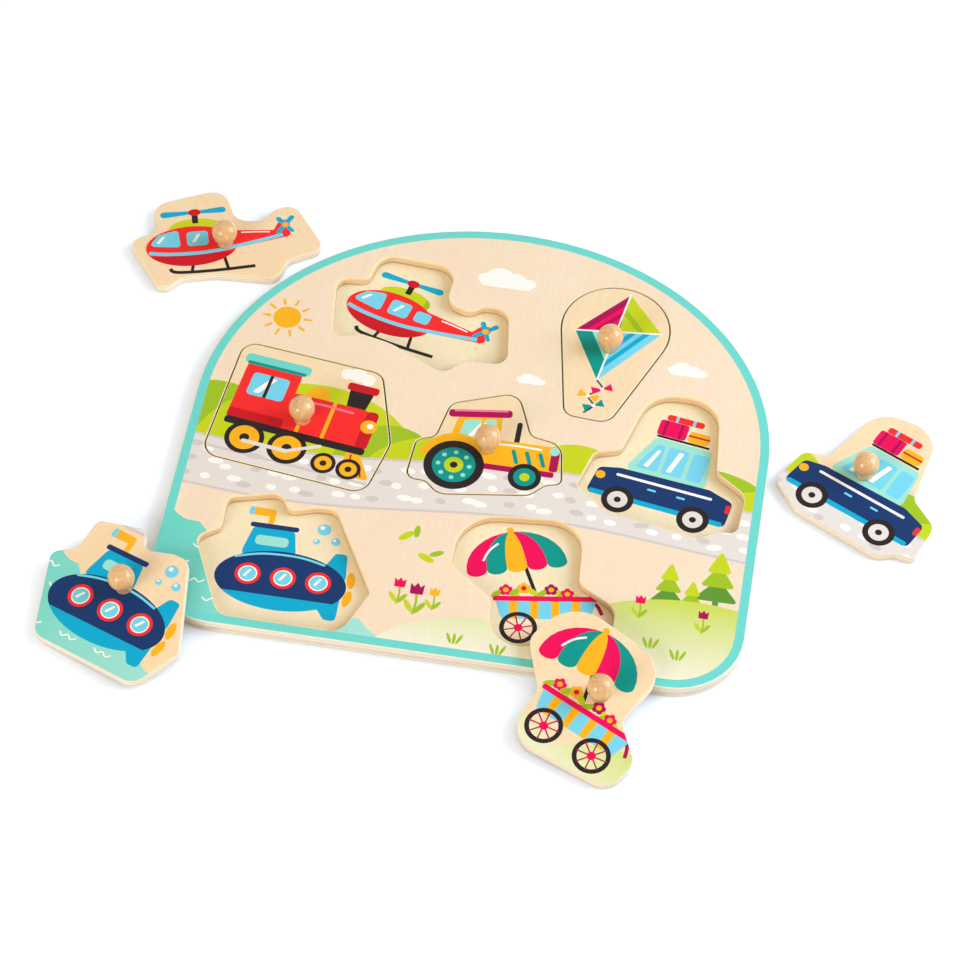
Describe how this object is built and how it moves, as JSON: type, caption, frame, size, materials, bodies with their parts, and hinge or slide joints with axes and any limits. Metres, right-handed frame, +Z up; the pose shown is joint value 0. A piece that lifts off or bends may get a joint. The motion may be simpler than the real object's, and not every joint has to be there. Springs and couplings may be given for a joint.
{
  "type": "peg puzzle",
  "caption": "Arched wooden puzzle board with shaped pockets, and flat rounded pieces that lift out by turned ball pegs.",
  "frame": {"origin": "middle of the board's underside", "axes": "+X across the board, +Y from the straight front edge to the arched back edge, +Z up out of the pockets"},
  "size_m": [0.4426, 0.3405, 0.0269],
  "materials": {
    "base_sheet": "lacquered plywood",
    "frame_sheet": "printed and lacquered plywood",
    "piece_wood": "printed and lacquered plywood",
    "peg_wood": "gloss lacquered"
  },
  "bodies": {
    "board": {"base_board": "base_sheet", "frame_board": "frame_sheet"},
    "helicopter_piece": {"helicopter_tile": "piece_wood", "helicopter_peg": "peg_wood"},
    "locomotive_piece": {"locomotive_tile": "piece_wood", "locomotive_peg": "peg_wood"},
    "tractor_piece": {"tractor_tile": "piece_wood", "tractor_peg": "peg_wood"},
    "kite_piece": {"kite_tile": "piece_wood", "kite_peg": "peg_wood"},
    "van_piece": {"van_tile": "piece_wood", "van_peg": "peg_wood"},
    "submarine_piece": {"submarine_tile": "piece_wood", "submarine_peg": "peg_wood"},
    "cart_piece": {"cart_tile": "piece_wood", "cart_peg": "peg_wood"}
  },
  "joints": [
    {"name": "helicopter_lift", "type": "slide", "parent": "board", "child": "helicopter_piece", "axis": [0, 0, 1], "range_m": [0, 0.04]},
    {"name": "locomotive_lift", "type": "slide", "parent": "board", "child": "locomotive_piece", "axis": [0, 0, 1], "range_m": [0, 0.04]},
    {"name": "tractor_lift", "type": "slide", "parent": "board", "child": "tractor_piece", "axis": [0, 0, 1], "range_m": [0, 0.04]},
    {"name": "kite_lift", "type": "slide", "parent": "board", "child": "kite_piece", "axis": [0, 0, 1], "range_m": [0, 0.04]},
    {"name": "van_lift", "type": "slide", "parent": "board", "child": "van_piece", "axis": [0, 0, 1], "range_m": [0, 0.04]},
    {"name": "submarine_lift", "type": "slide", "parent": "board", "child": "submarine_piece", "axis": [0, 0, 1], "range_m": [0, 0.04]},
    {"name": "cart_lift", "type": "slide", "parent": "board", "child": "cart_piece", "axis": [0, 0, 1], "range_m": [0, 0.04]}
  ]
}
